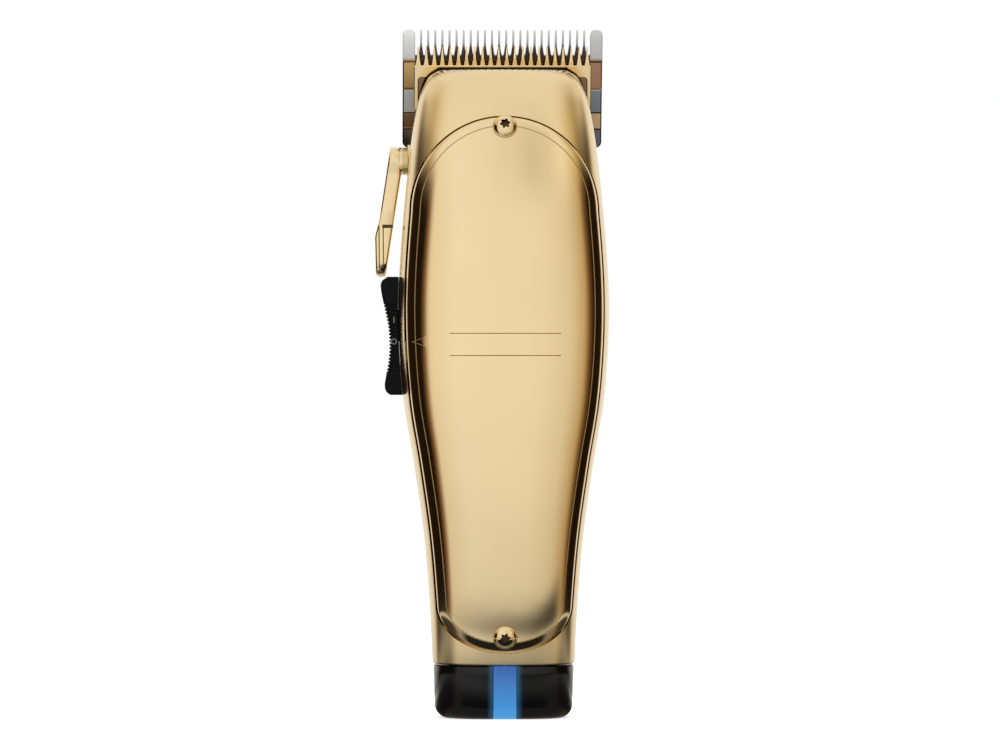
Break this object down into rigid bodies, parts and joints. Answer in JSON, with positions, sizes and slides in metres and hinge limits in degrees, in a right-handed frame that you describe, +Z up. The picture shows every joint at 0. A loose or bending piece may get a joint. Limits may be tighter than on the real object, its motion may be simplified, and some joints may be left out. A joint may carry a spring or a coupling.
{
  "type": "hair clipper",
  "caption": "Cordless hair clipper with an oval metal cover, a toothed comb and cutter at the top, a side taper lever, a slide switch and a lit base.",
  "frame": {"origin": "centre of the flat bottom face of the base cap", "axes": "+Z up from the base to the blades, -Y out of the cover plate, -X towards the taper lever and switch"},
  "size_m": [0.056, 0.0399, 0.1654],
  "materials": {
    "satin_gold": "satin gold, finely brushed lengthwise",
    "polished_gold": "polished gold",
    "gold_steel": "gold-coloured coating on steel, polished",
    "blade_steel": "ground and polished",
    "steel": "plain bright steel",
    "dark_steel": "blackened",
    "brass": "plain",
    "copper": "enamelled copper and commutator bars",
    "gloss_black": "gloss black",
    "matte_black": "matte black",
    "white_plastic": "natural moulded",
    "light_blue": "translucent, lit from behind",
    "battery_wrap": "shrink wrap",
    "board_green": "solder resist",
    "red_plastic": "wire insulation"
  },
  "bodies": {
    "housing": {"housing": "satin_gold", "cover_plate": "polished_gold", "cover_screw_top": "gold_steel", "cover_screw_bottom": "gold_steel", "base_cap": "gloss_black", "light_pipe": "light_blue", "status_led": "white_plastic", "led_board": "board_green", "charge_contact_left": "brass", "charge_contact_right": "brass", "base_screw_left": "dark_steel", "base_screw_right": "dark_steel", "bracket_screw_left": "steel", "bracket_screw_right": "steel", "motor_screw_left": "steel", "motor_screw_right": "steel", "motor_magnet_left": "dark_steel", "motor_magnet_right": "dark_steel", "motor_brush_left": "dark_steel", "motor_brush_right": "dark_steel", "tension_spring_left": "steel", "tension_spring_right": "steel", "spring_screw_left": "steel", "spring_screw_right": "steel", "rocker_pivot_pin": "steel", "motor_can": "steel", "motor_bush": "brass", "motor_end_bell": "white_plastic", "motor_bracket": "dark_steel", "battery_cell": "battery_wrap", "battery_holder": "matte_black", "battery_contact_lower": "steel", "battery_contact_upper": "steel", "circuit_board": "board_green", "control_chip": "matte_black", "power_coil": "dark_steel", "board_capacitor": "matte_black", "lever_bush": "brass", "slide_switch": "matte_black", "motor_lead_black": "matte_black", "motor_lead_red": "red_plastic", "led_lead": "white_plastic", "switch_lead": "white_plastic"},
    "comb": {"comb_blade": "blade_steel", "blade_carrier": "blade_steel", "blade_screw_left": "steel", "blade_screw_right": "steel"},
    "cutter": {"cutter_blade": "gold_steel", "cutter_fork": "matte_black"},
    "rocker": {"rocker_arm": "white_plastic"},
    "rotor": {"motor_shaft": "steel", "rotor_core": "copper", "commutator": "copper", "eccentric": "brass"},
    "lever": {"taper_lever": "gold_steel", "lever_shaft": "steel", "lever_screw": "steel"},
    "switch": {"switch_button": "matte_black"}
  },
  "joints": [
    {"name": "lever_turn", "type": "hinge", "parent": "housing", "child": "lever", "pos_m": [-0.0245, 0.0087, 0.1336], "axis": [-1, 0, 0], "range_deg": [0, 55]},
    {"name": "comb_slide", "type": "slide", "parent": "housing", "child": "comb", "axis": [0, 0.309, -0.9511], "range_m": [0, 0.0024]},
    {"name": "cutter_slide", "type": "slide", "parent": "housing", "child": "cutter", "axis": [1, 0, 0], "range_m": [-0.00105, 0.00105]},
    {"name": "rocker_swing", "type": "hinge", "parent": "housing", "child": "rocker", "pos_m": [0, 0.00751, 0.13887], "axis": [0, 0.9511, 0.309], "range_deg": [-5.95, 5.95]},
    {"name": "rotor_spin", "type": "hinge", "parent": "housing", "child": "rotor", "pos_m": [0, 0.003, 0.1], "axis": [0, 0, 1], "continuous": true},
    {"name": "switch_slide", "type": "slide", "parent": "housing", "child": "switch", "axis": [0, 0, -1], "range_m": [0, 0.0053]}
  ],
  "couplings": [
    {"joint": "lever_turn", "follows": "comb_slide", "rad_per_m": 399},
    {"joint": "rocker_swing", "follows": "cutter_slide", "rad_per_m": 98}
  ]
}
